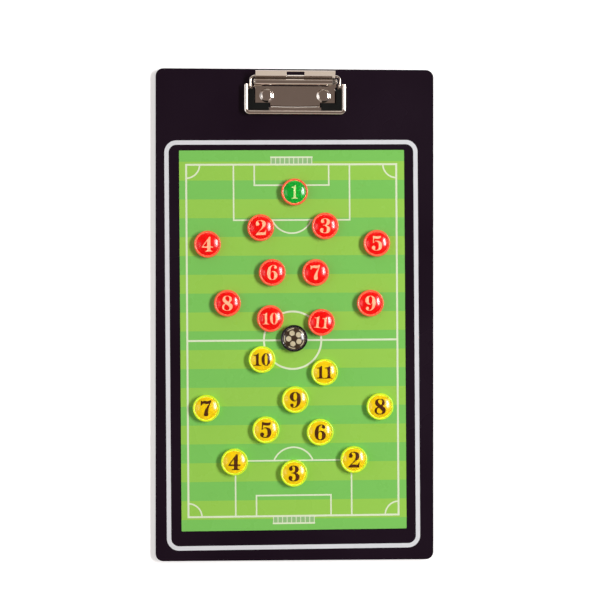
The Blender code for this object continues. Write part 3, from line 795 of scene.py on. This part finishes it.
for side in (1, -1):
    for degrees in (15, 30, 45, 60, 75):
        away = Vector((side * cos(radians(degrees)), sin(radians(degrees)), 0))
        middle = Vector((side * (BOW_SIDE - BOW_END_ROUNDING), BOW_REAR - BOW_END_ROUNDING, 0))
        cut_across(middle + BOW_END_ROUNDING * away, away, clear_outer=True)
lip_line = BOW_FRONT + 2 * BEAD_RADIUS + FLANGE_WIDTH
for step in range(17):
    select_faces(bow, lambda centre, normal: (abs(centre.z - FLANGE_HIGH) < 1e-6 and abs(normal.z) > 0.9
                                              and centre.y < lip_line))
    bpy.ops.mesh.bisect(plane_co=(LIP_SIDE * (step / 8 - 1), 0, 0), plane_no=(1, 0, 0))
object_mode()
for vertex in bow.data.vertices:
    if abs(vertex.co.y - lip_line) < 1e-5 and abs(vertex.co.x) < LIP_SIDE + 1e-5:
        vertex.co.y -= LIP_LENGTH + LIP_BOW * (1 - (vertex.co.x / LIP_SIDE) ** 2)
edit_mode()
select_edges(bow, lambda a, b: (max(abs(a.x), abs(b.x)) < LIP_SIDE + 1e-5 and abs(a.x - b.x) > 1e-5
                                and min(a.y, b.y) > lip_line - LIP_LENGTH - LIP_BOW - 1e-5
                                and max(a.y, b.y) < lip_line - LIP_LENGTH + 1e-5))
for share, drop in LIP_FOLDS:
    extrude((0, share * LIP_LENGTH, -drop * LIP_LENGTH))
object_mode()
thicken(bow, SHEET, -1, bent=True)
for x in (-WIRE_SIDE, WIRE_SIDE):
    cut_away(bow, start_disc("hole_tool", WIRE_RADIUS + 0.0002, 0, 0.02, 32), (x, WIRE_HOLE, 0))
soften(bow, 0)
fit(bow, nickel, "clip_lever", "bow")


# The pads: moulded black rubber corners, pushed over the bow's flange at both its front corners, that
# press on the paper.

rubber = marked_finish(
    "black_rubber", {"Specular IOR Level": 0.15}, ((0.0020, 0.0022, 0.0020), (0.0050, 0.0052, 0.0048)),
    (0.45, 0.6), 0.00003, (3000, 90, 700), 0.3)
for side in ("left", "right"):
    pad = add_object(f"moulded_{side}_pad", nodes[f"{side}_pad"].data.copy())
    only_select(pad)
    edit_mode()
    select_all()
    bpy.ops.mesh.remove_doubles(threshold=1e-6)
    bpy.ops.mesh.dissolve_limited(angle_limit=radians(1))
    object_mode()
    soften(pad, 0.00022)
    fit(pad, rubber, "clip_lever", f"{side}_pad")


# The counters: a coloured translucent cup with a ferrite disc pressed in below, a printed label on
# its floor, and a clear cast lens over the label.

CUP_RADIUS = 0.0105
CUP_FOOT = 0.0041
CUP_TOP = 0.0080
POCKET_RADIUS = 0.00895
POCKET_CEILING = 0.00715
LABEL_SEAT = 0.0075
LABEL_RADIUS = 0.0087
LENS_RADIUS = 0.0093
LENS_FOOT = LABEL_SEAT + 0.000005
LENS_EDGE = 0.00795
LENS_TOP = 0.0106
LENS_ROUNDING = 0.00018
WELL_RADIUS = LENS_RADIUS + 0.00005
LABEL_TOP = LABEL_SEAT + 0.00011


def model_cup():
    """The cup: an open well above for the label and the lens, and a pocket below for the magnet."""
    cup = start_disc("cup_model", CUP_RADIUS, CUP_FOOT, CUP_TOP, 96)
    edit_mode()
    select_faces(cup, lambda centre, normal: normal.z > 0.9)
    bpy.ops.mesh.inset(thickness=CUP_RADIUS - WELL_RADIUS)
    extrude((0, 0, LABEL_SEAT - CUP_TOP))
    select_faces(cup, lambda centre, normal: normal.z < -0.9)
    bpy.ops.mesh.inset(thickness=CUP_RADIUS - POCKET_RADIUS)
    extrude((0, 0, POCKET_CEILING - CUP_FOOT))
    bevel_ring(cup, CUP_RADIUS, CUP_TOP, 0.0006, 6)
    bevel_ring(cup, CUP_RADIUS, CUP_FOOT, 0.0002, 3)
    bevel_ring(cup, WELL_RADIUS, CUP_TOP, 0.0001, 2)
    object_mode()
    smooth_by_angle(cup, 35)
    return cup


def model_label():
    """The printed disc, with a slightly soft edge."""
    label = start_disc("label_model", LABEL_RADIUS, LABEL_SEAT + 0.00001, LABEL_TOP, 96)
    edit_mode()
    bevel_ring(label, LABEL_RADIUS, LABEL_TOP, 0.00004, 2)
    object_mode()
    smooth_by_angle(label, 35)
    return label


def model_lens():
    """The lens: a disc with a rounded edge, raised to a shallow dome."""
    rise = LENS_TOP - LENS_EDGE
    curve = (LENS_RADIUS ** 2 + rise ** 2) / (2 * rise)
    lens = start_disc("lens_model", LENS_RADIUS, LENS_FOOT, LENS_EDGE - LENS_ROUNDING, 72)
    dome = []
    for degrees in (22, 45, 65):
        slant = radians(degrees)
        dome.append((LENS_RADIUS - LENS_ROUNDING * (1 - cos(slant)),
                     LENS_EDGE - LENS_ROUNDING * (1 - sin(slant))))
    for step in range(1, 21):
        radius = (LENS_RADIUS - LENS_ROUNDING) * (1 - step / 21)
        dome.append((radius, LENS_TOP - curve + sqrt(curve ** 2 - radius ** 2)))
    edit_mode()
    select_faces(lens, lambda centre, normal: normal.z > 0.9)
    inset_through(LENS_RADIUS, LENS_EDGE - LENS_ROUNDING, dome)
    object_mode()
    smooth_by_angle(lens, 40)
    return lens


# Numerals are drawn as outlines in hundredths of their height. A point is x and y, and a third
# value where the outline turns a corner instead of running smoothly.
DIGITS = {
    "0": [[(35, 100), (60, 86), (70, 50), (60, 14), (35, 0), (10, 14), (0, 50), (10, 86)],
          [(35, 95.5), (44, 82), (46.5, 50), (44, 18), (35, 4.5), (26, 18), (23.5, 50), (26, 82)]],
    "1": [[(0, 0, 0), (60, 0, 0), (60, 5.5, 0), (47, 7.5), (42.5, 14), (42.5, 100, 0), (35, 100, 0),
           (23, 90), (0, 86, 0), (0, 81, 0), (19, 80, 0), (19, 14), (14.5, 7.5), (0, 5.5, 0)]],
    "2": [[(0, 0, 0), (0, 6, 0), (17, 23), (35, 42), (44, 60), (45.5, 75), (42, 90), (33, 95), (22, 93),
           (22, 85), (28, 75), (23, 65), (13, 62), (3.5, 68), (3, 80), (13, 94), (35, 100), (60, 93),
           (69, 74), (62, 56), (42, 39), (19, 20.5, 0), (42, 19.5), (58, 20), (66, 33, 0), (70, 33, 0),
           (67, 0, 0)]],
    "3": [[(34, 100), (56, 94), (64.5, 76), (57, 59), (44, 53, 0), (62, 45), (69, 27), (59, 6), (33, 0),
           (9, 6), (1, 20), (5, 31), (15, 34.5), (25, 28), (25, 18), (22, 9), (31, 5), (42, 11),
           (45.5, 27), (41, 43), (30, 50), (20, 50.5, 0), (20, 55.5, 0), (31, 56.5), (39.5, 64), (42, 78),
           (39, 91), (31, 95), (23.5, 92), (25, 85), (27, 76), (20, 67), (10, 68), (4, 78), (11, 93)]],
    "4": [[(57, 100, 0), (57, 36, 0), (74, 36, 0), (74, 26.5, 0), (57, 26.5, 0), (57, 12), (61, 7),
           (70, 5.5, 0), (70, 0, 0), (21, 0, 0), (21, 5.5, 0), (30, 7), (34, 12), (34, 26.5, 0),
           (0, 26.5, 0), (0, 33, 0), (49, 100, 0)],
          [(34, 36, 0), (34, 70, 0), (10.5, 36, 0)]],
    "5": [[(9, 100, 0), (30, 97), (52, 98), (62, 100, 0), (60, 86), (50, 80), (17, 80, 0), (15, 60, 0),
           (24, 64.5), (38, 67), (61, 58), (69, 34), (60, 9), (33, 0), (9, 6), (1, 19), (5, 30),
           (15, 33.5), (25, 27), (25, 17), (22, 9), (31, 5), (42, 12), (45.5, 33), (41, 54), (30, 61),
           (19, 58), (13.5, 50, 0), (8.5, 50, 0)]],
    "6": [[(36, 0), (60, 8), (70, 31), (61, 52), (43, 60), (31, 57), (24.5, 49, 0), (26, 72), (33, 90),
           (43, 95.5), (49, 93), (46, 86), (49, 76), (58, 73.5), (66, 80), (63, 93), (45, 100), (18, 90),
           (3, 62), (2, 34), (12, 9)],
          [(36, 4.5), (44.5, 12), (46.5, 31), (44, 48), (36, 54.5), (27.5, 47), (24.5, 29), (27.5, 11)]],
    "7": [[(3, 100, 0), (8, 100, 0), (13, 96.5), (27, 99), (47, 95.5), (62, 100, 0), (68, 100, 0),
           (67, 90, 0), (52, 56), (46, 28), (46, 6), (34, 0), (22, 6), (24, 28), (38, 56), (57, 80, 0),
           (42, 76.5), (27, 80), (14, 79), (8, 70, 0), (3, 70, 0)]],
    "8": [[(35, 100), (58, 93), (65, 76), (60, 62), (52, 54), (65, 43), (70, 26), (60, 6), (34, 0),
           (10, 6), (1, 23), (7, 40), (19, 49), (8, 60), (4.5, 76), (12, 93)],
          [(36, 95.5), (46, 89), (48, 76), (43, 60, 0), (28, 71), (22.5, 84), (27, 93)],
          [(33, 4.5), (46, 9), (49, 18), (42, 30), (26, 44, 0), (18, 36), (15, 22), (20, 9)]],
}
DIGITS["9"] = [[(70 - x, 100 - y, *corner) for x, y, *corner in outline] for outline in DIGITS["6"]]

# Height of one digit, height of two digits, breadth for its height, and how far the ink spreads
NUMERAL_SIZES = {"green": (0.0101, 0.0101, 0.74, 0.0), "red": (0.0113, 0.0088, 1.02, -0.00012),
                 "yellow": (0.0118, 0.0094, 1.02, 0.00006)}
DIGIT_GAP = 4


def model_numeral(team, text):
    """The numeral of one counter as a thin printed shape, centred on the label."""
    single, double, breadth, spread = NUMERAL_SIZES[team]
    height = single if len(text) == 1 else double
    curve = bpy.data.curves.new(f"numeral_{text}", "CURVE")
    curve.dimensions = "2D"
    curve.fill_mode = "BOTH"
    curve.resolution_u = 5
    curve.extrude = INK / 2
    curve.offset = spread
    reach = 0.0
    for digit in text:
        for outline in DIGITS[digit]:
            spline = curve.splines.new("BEZIER")
            spline.use_cyclic_u = True
            spline.bezier_points.add(len(outline) - 1)
            for knot, (x, y, *corner) in zip(spline.bezier_points, outline):
                knot.co = ((x + reach) / 100 * height * breadth, y / 100 * height, 0)
                kind = "VECTOR" if corner else "AUTO"
                knot.handle_left_type = kind
                knot.handle_right_type = kind
        reach += max(point[0] for point in DIGITS[digit][0]) + DIGIT_GAP
    made = turn_to_mesh(add_object(f"numeral_{text}_model", curve))
    xs = [vertex.co.x for vertex in made.data.vertices]
    ys = [vertex.co.y for vertex in made.data.vertices]
    middle = Vector(((min(xs) + max(xs)) / 2, (min(ys) + max(ys)) / 2, 0))
    made.data.transform(Matrix.Translation(Vector((0, 0, LABEL_TOP + INK / 2)) - middle))
    return made


def translucent_plastic(name, deep, pale):
    lit_through = {"Specular IOR Level": 0.5, "Subsurface Weight": 0.25, "Subsurface Scale": 0.5,
                   "Subsurface Radius": (0.002, 0.001, 0.0006)}
    return marked_finish(name, lit_through, (deep, pale), (0.16, 0.26), 0.000004, (1200, 150, 500), 0.5)


def label_ink(name, deep, pale):
    return marked_finish(name, {"Specular IOR Level": 0.0}, (deep, pale), (0.4, 0.5), 0.000003,
                         (2000, 200, 500), 0.2)


red_plastic = translucent_plastic("red_plastic", (0.99, 0.125, 0.045), (1.0, 0.165, 0.075))
yellow_plastic = translucent_plastic("yellow_plastic", (0.64, 0.88, 0.02), (0.70, 0.95, 0.03))
black_plastic = translucent_plastic("black_plastic", (0.006, 0.005, 0.006), (0.011, 0.010, 0.011))
red_label = label_ink("red_label", (0.62, 0.001, 0.001), (0.68, 0.003, 0.002))
yellow_label = label_ink("yellow_label", (0.64, 0.43, 0.0), (0.70, 0.48, 0.002))
green_label = label_ink("green_label", (0.002, 0.27, 0.018), (0.004, 0.32, 0.026))
black_label = label_ink("black_label", (0.032, 0.018, 0.010), (0.040, 0.024, 0.013))
cream_ink = label_ink("cream_ink", (0.78, 0.40, 0.22), (0.84, 0.46, 0.27))
pale_ink = label_ink("pale_ink", (0.50, 0.62, 0.23), (0.56, 0.69, 0.28))
brown_ink = label_ink("brown_ink", (0.045, 0.012, 0.002), (0.07, 0.020, 0.004))


def open_where(tree, shader, mask):
    """Lets all light through a material where the mask is 1."""
    clear = tree.nodes.new("ShaderNodeBsdfTransparent")
    mixed = add_node(tree, "ShaderNodeMixShader",
                     {0: mask, 1: shader.outputs["BSDF"], 2: clear.outputs["BSDF"]})
    tree.links.new(mixed.outputs["Shader"], tree.nodes["Material Output"].inputs["Surface"])


clear_lens, tree, shader = start_finish(
    "clear_lens", {"Base Color": (1, 1, 1, 1), "Transmission Weight": 1.0, "IOR": 1.49,
                   "Specular IOR Level": 0.26})
marks = add_node(tree, "ShaderNodeGroup", {}, node_tree=surface_marks)
marks.inputs["Cloud Scale"].default_value = 40.0
rough = add_node(tree, "ShaderNodeMapRange",
                 {"Value": marks.outputs["Cloud"], "To Min": 0.18, "To Max": 0.21})
tree.links.new(rough.outputs["Result"], shader.inputs["Roughness"])
open_where(tree, shader, tree.nodes.new("ShaderNodeLightPath").outputs["Is Shadow Ray"])

ferrite = marked_finish(
    "ferrite", {"Specular IOR Level": 0.4}, ((0.028, 0.026, 0.025), (0.045, 0.042, 0.040)),
    (0.6, 0.8), 0.00004, (2600, 200, 700), 0.4)

cup_model = model_cup()
label_model = model_label()
lens_model = model_lens()


def copy_piece(model, name, place, finish, body, turn=0.0, replaced=None):
    """A copy of a model with its own mesh, at its place in the frame."""
    made = add_object(name, model.data.copy())
    made.data.transform(Matrix.Translation((place.x, place.y, 0)) @ Matrix.Rotation(turn, 4, "Z"))
    fit(made, finish, body, replaced)


def counter_place(name):
    low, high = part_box(f"{name}_cap")
    return (low + high) / 2


# How far each numeral is turned from upright, in degrees
NUMERAL_TURNS = {"red_11": -5.0, "red_7": 4.0, "red_3": -3.0, "red_2": 2.0,
                 "yellow_7": 2.0, "yellow_5": -3.0}

for team, numbers, cup, label, ink, slot in (
        ("green", (1,), red_plastic, green_label, pale_ink, "red_plastic"),
        ("red", range(2, 12), red_plastic, red_label, cream_ink, "red_plastic"),
        ("yellow", range(2, 12), yellow_plastic, yellow_label, brown_ink, "yellow_plastic")):
    for number in numbers:
        name = f"{team}_{number}"
        place = counter_place(name)
        turn = radians(NUMERAL_TURNS.get(name, 0.0))
        numeral = model_numeral(team, str(number))
        copy_piece(cup_model, f"{name}_cup", place, cup, name, replaced=f"{name}_cap")
        copy_piece(label_model, f"{name}_label", place, label, name)
        copy_piece(numeral, f"{name}_numeral", place, ink, name, turn)
        bpy.data.objects.remove(numeral)
        copy_piece(lens_model, f"{name}_lens", place, clear_lens, name)
        dress(f"{name}_magnet", ferrite)


# The ball counter: the same cup and lens, in black, over a label printed with a plain ball pattern.
# Five cream hexagons stand round its dark middle, with five narrow bands along its rim between them.

PATCH_TURN = 40.0
PATCH_AWAY = 0.0042
PATCH_RADIUS = 0.0022
PATCH_ROUNDING = 0.00045
OUTER_RADIUS = 0.0079
OUTER_WIDTH = 0.0007
OUTER_SPREAD = 20


def model_patch():
    """One rounded hexagon of the ball pattern."""
    patch = start_disc("patch_model", PATCH_RADIUS, LABEL_TOP, LABEL_TOP + INK, 6)
    edit_mode()
    select_edges(patch, lambda a, b: abs(a.z - b.z) > INK / 2)
    bpy.ops.mesh.bevel(offset=PATCH_ROUNDING, segments=4)
    object_mode()
    return patch


def model_outer_patch():
    """One outer patch, foreshortened to a narrow band along the ball's outline."""
    band = start_disc("outer_patch_model", OUTER_RADIUS, LABEL_TOP, LABEL_TOP + INK, 96)
    edit_mode()
    select_faces(band, lambda centre, normal: abs(normal.z) > 0.9)
    bpy.ops.mesh.inset(thickness=OUTER_WIDTH)
    bpy.ops.mesh.bridge_edge_loops()
    for turn in (OUTER_SPREAD, -OUTER_SPREAD):
        cut_across((0, 0, 0), (sin(radians(turn)), -cos(radians(turn)), 0),
                   clear_inner=turn > 0, clear_outer=turn < 0, use_fill=True)
    object_mode()
    return band


place = counter_place("ball")
copy_piece(cup_model, "ball_cup", place, black_plastic, "ball", replaced="ball_cap")
copy_piece(label_model, "ball_label", place, black_label, "ball")
copy_piece(lens_model, "ball_lens", place, clear_lens, "ball")
dress("ball_magnet", ferrite)
patch_ink = label_ink("patch_ink", (0.45, 0.39, 0.255), (0.505, 0.445, 0.30))
patch_model = model_patch()
outer_patch_model = model_outer_patch()
for number in range(1, 6):
    heading = radians(PATCH_TURN + 72 * (number - 1))
    away = place + PATCH_AWAY * Vector((cos(heading), sin(heading), 0))
    for model, name, where in ((patch_model, "patch", away), (outer_patch_model, "outer_patch", place)):
        copy_piece(model, f"ball_{name}_{number}", where, patch_ink, "ball", heading)
for model in (cup_model, label_model, lens_model, patch_model, outer_patch_model):
    bpy.data.objects.remove(model)


# The scene: a pale floor that is open from below and to rays that start close above it, a studio that
# is light round the horizon and dim overhead, one tall lamp on the right and a weak one on the left,
# and a camera nearly straight above.

FLOOR_SIZE = 12
FLOOR_LEVEL = -0.0001
FLOOR_GLOW = 0.45
OPEN_NEAR = 0.003

floor_finish, tree, shader = start_finish(
    "pale_floor", {"Base Color": (0.8, 0.8, 0.8, 1), "Roughness": 0.9, "Emission Color": (1, 1, 1, 1)})


def join_values(tree, operation, first, second):
    return add_node(tree, "ShaderNodeMath", {0: first, 1: second}, operation=operation).outputs[0]


path = tree.nodes.new("ShaderNodeLightPath").outputs
seen = join_values(tree, "MAXIMUM", path["Is Camera Ray"], path["Is Glossy Ray"])
seen = join_values(tree, "MAXIMUM", seen, path["Is Transmission Ray"])
glow = join_values(tree, "MULTIPLY", seen, FLOOR_GLOW)
tree.links.new(glow, shader.inputs["Emission Strength"])
near = join_values(tree, "LESS_THAN", path["Ray Length"], OPEN_NEAR)
below = tree.nodes.new("ShaderNodeNewGeometry").outputs["Backfacing"]
open_where(tree, shader, join_values(tree, "MAXIMUM", near, below))
deselect_objects()
bpy.ops.mesh.primitive_plane_add(size=FLOOR_SIZE, location=(0, 0, FLOOR_LEVEL))
floor = bpy.context.object
floor.name = "floor"
floor.data.materials.append(floor_finish)

SKY_LEVEL = 0.84

world = bpy.data.worlds.new("studio")
bpy.context.scene.world = world
world.use_nodes = True
tree = world.node_tree
tree.nodes.clear()
direction = tree.nodes.new("ShaderNodeTexCoord").outputs["Generated"]
parts = add_node(tree, "ShaderNodeSeparateXYZ", {0: direction}).outputs
sky = (0.88, 0.79, 0.71, 1)

# Bands of light or dark over the horizon's colour: axis, where each starts and is full, and its colour
for axis, near, far, light in (("Z", 0.2, 0.65, (0.210, 0.162, 0.141, 1)),
                               ("X", 0.35, 0.75, (0.30, 0.25, 0.25, 1)),
                               ("Y", 0.76, 0.86, (1.2, 1.1, 1.0, 1)),
                               ("X", -0.71, -0.82, (1.5, 1.5, 1.55, 1))):
    share = add_node(tree, "ShaderNodeMapRange", {"Value": parts[axis], "From Min": near, "From Max": far},
                     interpolation_type="SMOOTHSTEP").outputs["Result"]
    sky = add_node(tree, "ShaderNodeMix", {0: share, 6: sky, 7: light}, data_type="RGBA").outputs[2]
seen = tree.nodes.new("ShaderNodeLightPath").outputs["Is Camera Ray"]
level = add_node(tree, "ShaderNodeMapRange", {"Value": seen, "To Min": SKY_LEVEL, "To Max": 1.0}).outputs[0]
sky = add_node(tree, "ShaderNodeMix", {0: seen, 6: sky, 7: (1, 1, 1, 1)}, data_type="RGBA").outputs[2]
background = add_node(tree, "ShaderNodeBackground", {"Color": sky, "Strength": level})
output = tree.nodes.new("ShaderNodeOutputWorld")
tree.links.new(background.outputs[0], output.inputs[0])


def aim_back(held, place, back):
    """Puts a lamp or the camera at its place, with its back to a direction and its top towards +Y."""
    across = Vector((0, 1, 0)).cross(back).normalized()
    up = back.normalized().cross(across)
    held.matrix_world = Matrix((across, up, back.normalized())).transposed().to_4x4()
    held.location = place


def hang_lamp(name, from_vertical, azimuth, distance, wide, tall, power):
    """A rectangular lamp that faces the board's middle, at an angle from straight above."""
    slant, heading = radians(from_vertical), radians(azimuth)
    away = Vector((sin(slant) * cos(heading), sin(slant) * sin(heading), cos(slant)))
    data = bpy.data.lights.new(name, "AREA")
    data.shape = "RECTANGLE"
    data.size = wide
    data.size_y = tall
    data.energy = power
    lamp = add_object(name, data)
    aim_back(lamp, away * distance, away)
    lamp.visible_camera = False


hang_lamp("right_lamp", 47, 12, 3.0, 0.52, 1.6, 91)
hang_lamp("left_lamp", 42, 180, 3.0, 0.40, 1.3, 6)

view_point = Vector((0.0039, 0.0115, 0.004))
camera_data = bpy.data.cameras.new("camera")
camera_data.lens = 99.5
camera_data.sensor_width = 36
camera_data.clip_start = 0.05
camera = add_object("camera", camera_data)
to_camera = Vector((-0.0635, 0, 1.2985))
aim_back(camera, view_point + to_camera, to_camera)
bpy.context.scene.camera = camera
bpy.context.scene.view_settings.view_transform = "Standard"
